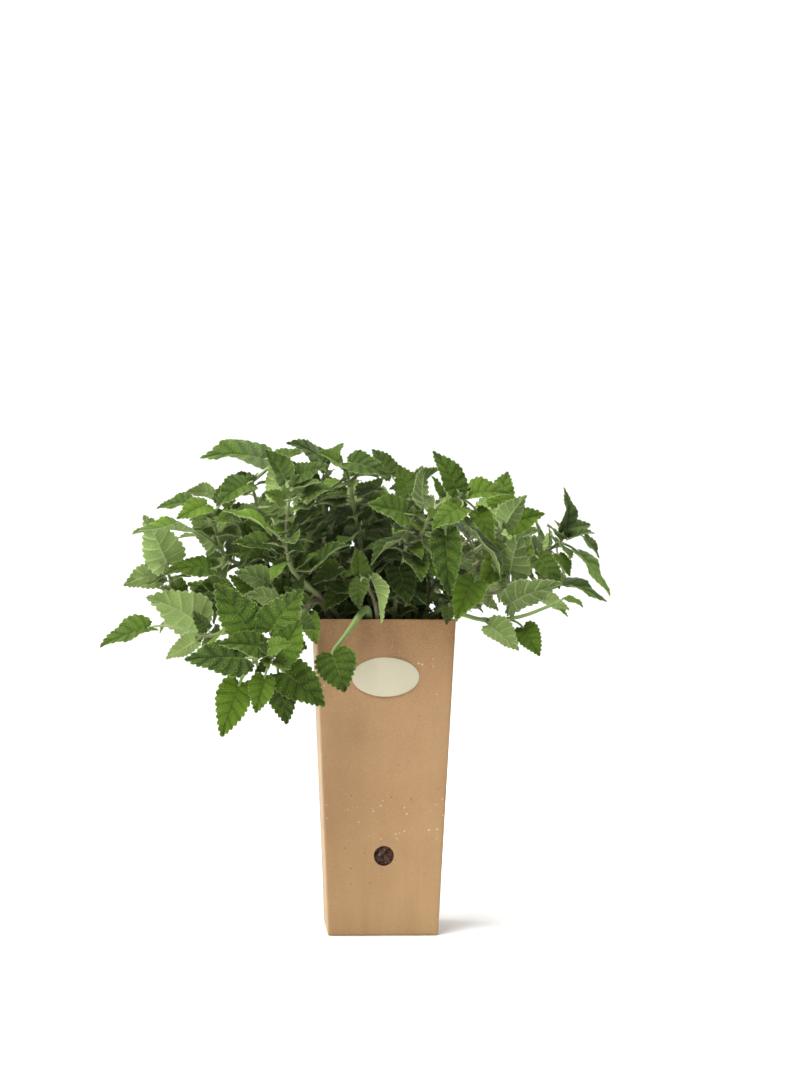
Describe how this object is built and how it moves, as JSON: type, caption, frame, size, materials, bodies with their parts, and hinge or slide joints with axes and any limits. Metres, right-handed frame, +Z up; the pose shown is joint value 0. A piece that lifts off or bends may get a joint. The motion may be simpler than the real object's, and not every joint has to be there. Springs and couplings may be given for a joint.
{
  "type": "potted catmint plant",
  "caption": "Bushy catmint with toothed heart-shaped leaves on spreading square stems, in a tall tapered square cardboard pot filled with soil, with a blank oval label.",
  "frame": {"origin": "centre of the pot's flat base, where it rests", "axes": "+Z up; -Y is the front face with the label and the drain hole; +X to the right of someone facing the front"},
  "size_m": [0.3664, 0.277, 0.3556],
  "materials": {
    "cardboard": "matte kraft board with light and dark fibre flecks",
    "label_paper": "smooth matte cream paper",
    "soil": "dark crumbly potting mix of bark and peat",
    "leaf": "soft downy green, darker above and paler grey-green beneath"
  },
  "bodies": {
    "root": {"label": "label_paper", "pot": "cardboard", "shoot_back_1": "leaf", "shoot_back_10": "leaf", "shoot_back_11": "leaf", "shoot_back_2": "leaf", "shoot_back_3": "leaf", "shoot_back_4": "leaf", "shoot_back_5": "leaf", "shoot_back_6": "leaf", "shoot_back_7": "leaf", "shoot_back_8": "leaf", "shoot_back_9": "leaf", "shoot_centre_front": "leaf", "shoot_centre_left": "leaf", "shoot_front_centre": "leaf", "shoot_front_left": "leaf", "shoot_left_inner": "leaf", "shoot_left_low": "leaf", "shoot_left_mid": "leaf", "shoot_left_up": "leaf", "shoot_low_left": "leaf", "shoot_low_mid": "leaf", "shoot_over_rim": "leaf", "shoot_right_far": "leaf", "shoot_right_low": "leaf", "shoot_right_mid": "leaf", "shoot_right_up": "leaf", "shoot_top_centre": "leaf", "shoot_top_left": "leaf", "shoot_top_mid": "leaf", "shoot_top_mid_left": "leaf", "shoot_top_right": "leaf", "soil": "soil", "shoot_low_back_1": "leaf", "shoot_low_back_2": "leaf", "shoot_low_back_3": "leaf", "shoot_low_back_4": "leaf", "shoot_low_back_5": "leaf"}
  },
  "joints": []
}
